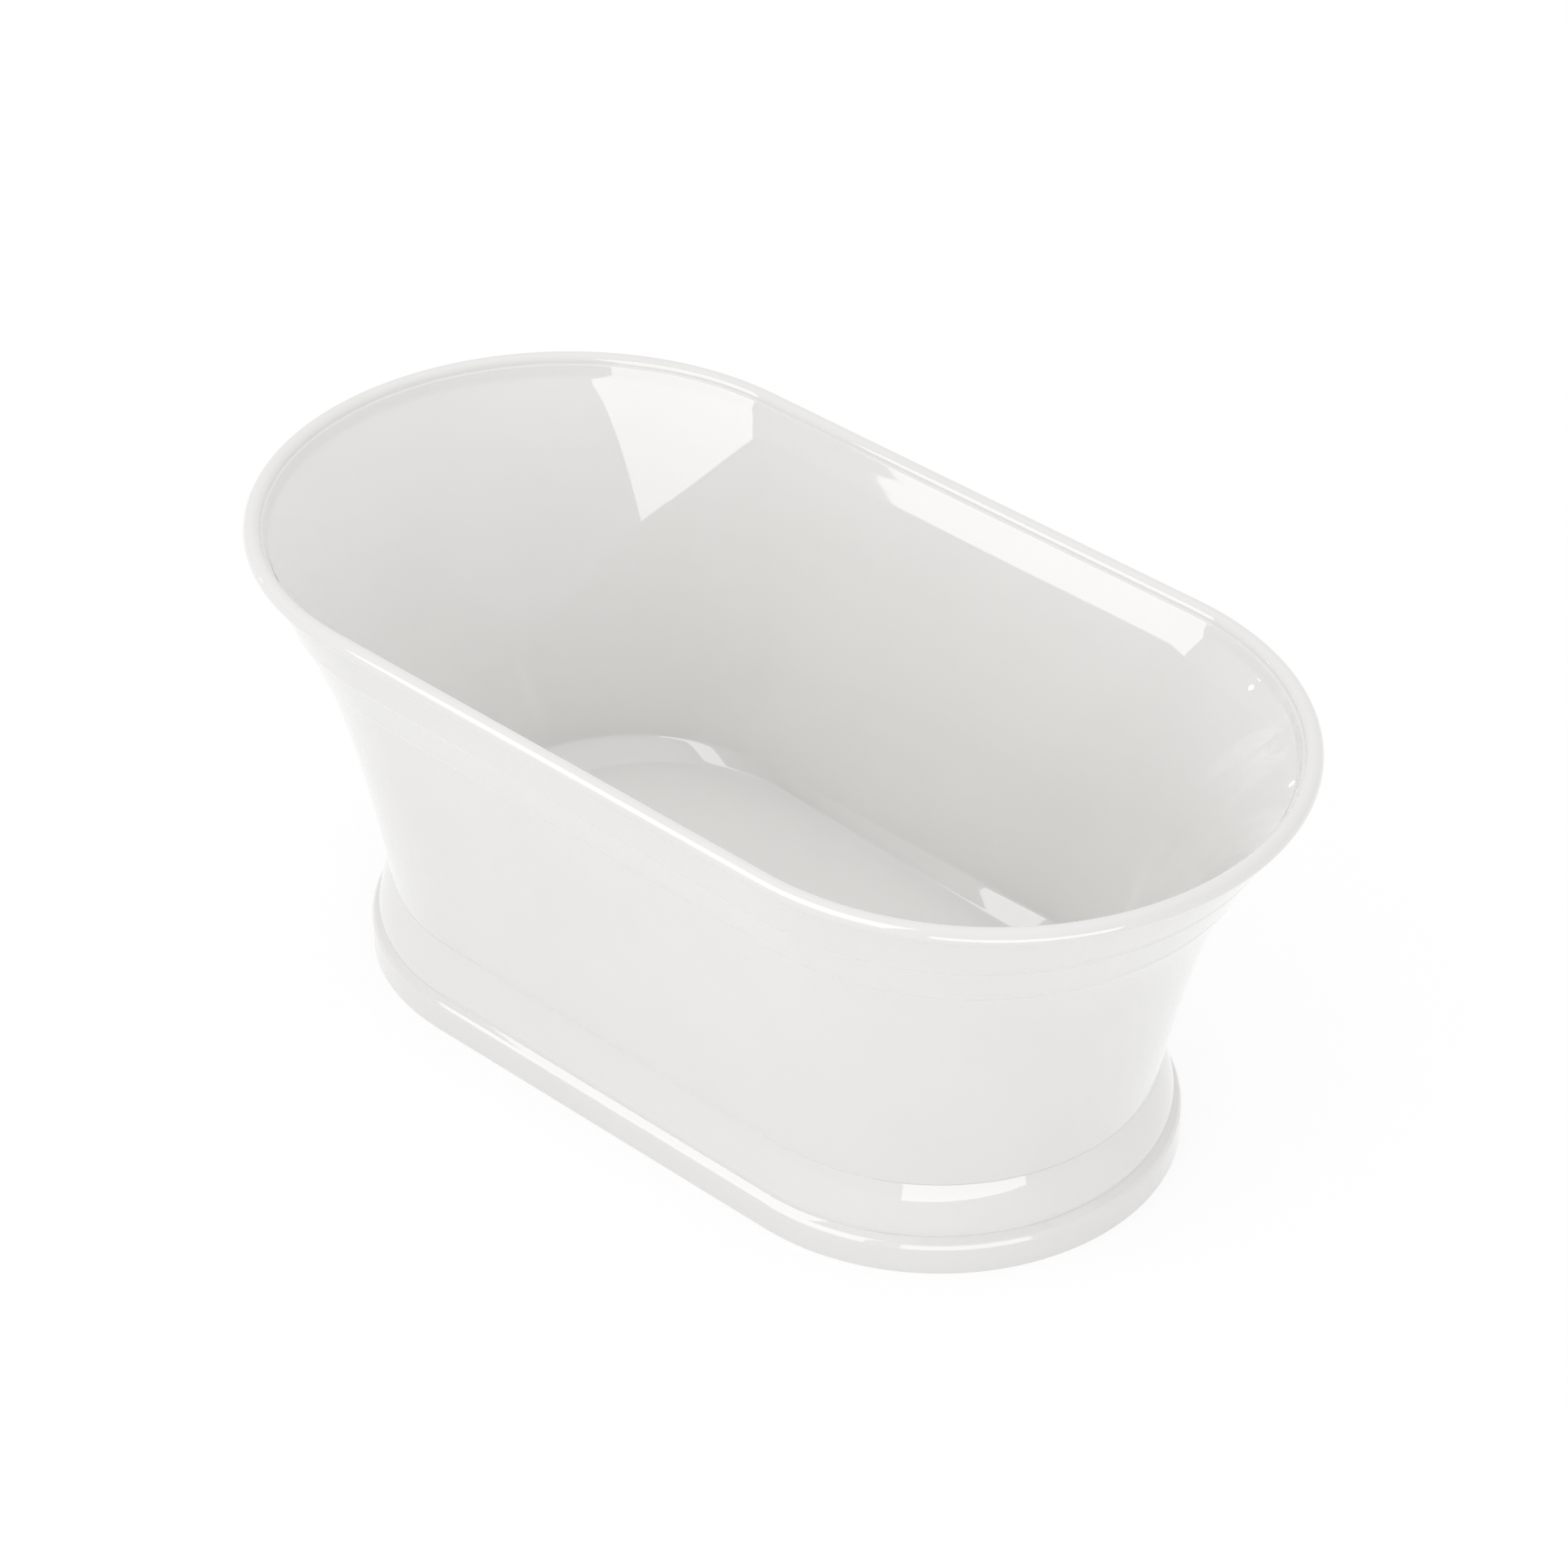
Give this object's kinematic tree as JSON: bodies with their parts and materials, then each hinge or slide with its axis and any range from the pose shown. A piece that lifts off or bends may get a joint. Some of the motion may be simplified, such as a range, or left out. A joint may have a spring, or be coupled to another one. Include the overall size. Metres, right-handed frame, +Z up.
{
  "type": "freestanding bathtub",
  "caption": "Freestanding double-skin bath with a rolled rim, stepped fascia and plinth, a push-open waste, an overflow and levelling feet.",
  "frame": {"origin": "on the floor, under the middle of the bath", "axes": "+X along the bath towards the waste end, +Y across it, +Z up"},
  "size_m": [1.5, 0.788, 0.61],
  "materials": {
    "white_acrylic": "high gloss, vacuum-formed and polished",
    "chipboard": "raw chipboard",
    "zinc_steel": "zinc plated",
    "black_plastic": "moulded",
    "chrome": "polished",
    "brass": "machined",
    "rubber": "moulded",
    "white_plastic": "moulded"
  },
  "bodies": {
    "bath": {"inner_shell": "white_acrylic", "outer_shell": "white_acrylic", "plinth": "white_acrylic", "baseboard": "chipboard", "leg_bar_back": "zinc_steel", "leg_bar_front": "zinc_steel", "centre_bracket": "zinc_steel", "waste_flange": "chrome", "flange_seal": "rubber", "plug_cartridge": "brass", "waste_gasket": "rubber", "waste_body": "white_plastic", "overflow_cover": "chrome", "overflow_screw": "chrome", "overflow_seal": "rubber", "overflow_gasket": "rubber", "overflow_elbow": "white_plastic", "overflow_hose": "white_plastic", "hose_nut_top": "white_plastic", "hose_nut_bottom": "white_plastic", "frame_screw_01": "zinc_steel", "frame_screw_02": "zinc_steel", "frame_screw_03": "zinc_steel", "frame_screw_04": "zinc_steel", "frame_screw_05": "zinc_steel", "frame_screw_06": "zinc_steel", "frame_screw_07": "zinc_steel", "frame_screw_08": "zinc_steel", "frame_screw_09": "zinc_steel", "frame_screw_10": "zinc_steel", "frame_screw_11": "zinc_steel", "frame_screw_12": "zinc_steel", "foot_nut_upper_1": "zinc_steel", "foot_nut_lower_1": "zinc_steel", "foot_nut_upper_2": "zinc_steel", "foot_nut_lower_2": "zinc_steel", "foot_nut_upper_3": "zinc_steel", "foot_nut_lower_3": "zinc_steel", "foot_nut_upper_4": "zinc_steel", "foot_nut_lower_4": "zinc_steel", "foot_nut_upper_5": "zinc_steel", "foot_nut_lower_5": "zinc_steel"},
    "plug": {"plug_cap": "chrome", "plug_seal": "rubber", "plug_stem": "brass"},
    "foot_1": {"foot_pad_1": "black_plastic", "foot_stud_1": "zinc_steel"},
    "foot_2": {"foot_pad_2": "black_plastic", "foot_stud_2": "zinc_steel"},
    "foot_3": {"foot_pad_3": "black_plastic", "foot_stud_3": "zinc_steel"},
    "foot_4": {"foot_pad_4": "black_plastic", "foot_stud_4": "zinc_steel"},
    "foot_5": {"foot_pad_5": "black_plastic", "foot_stud_5": "zinc_steel"}
  },
  "joints": [
    {"name": "plug_lift", "type": "slide", "parent": "bath", "child": "plug", "axis": [0, 0, 1], "range_m": [0, 0.009]},
    {"name": "foot_1_travel", "type": "slide", "parent": "bath", "child": "foot_1", "axis": [0, 0, -1], "range_m": [-0.006, 0.012]},
    {"name": "foot_2_travel", "type": "slide", "parent": "bath", "child": "foot_2", "axis": [0, 0, -1], "range_m": [-0.006, 0.012]},
    {"name": "foot_3_travel", "type": "slide", "parent": "bath", "child": "foot_3", "axis": [0, 0, -1], "range_m": [-0.006, 0.012]},
    {"name": "foot_4_travel", "type": "slide", "parent": "bath", "child": "foot_4", "axis": [0, 0, -1], "range_m": [-0.006, 0.012]},
    {"name": "foot_5_travel", "type": "slide", "parent": "bath", "child": "foot_5", "axis": [0, 0, -1], "range_m": [-0.006, 0.012]}
  ]
}
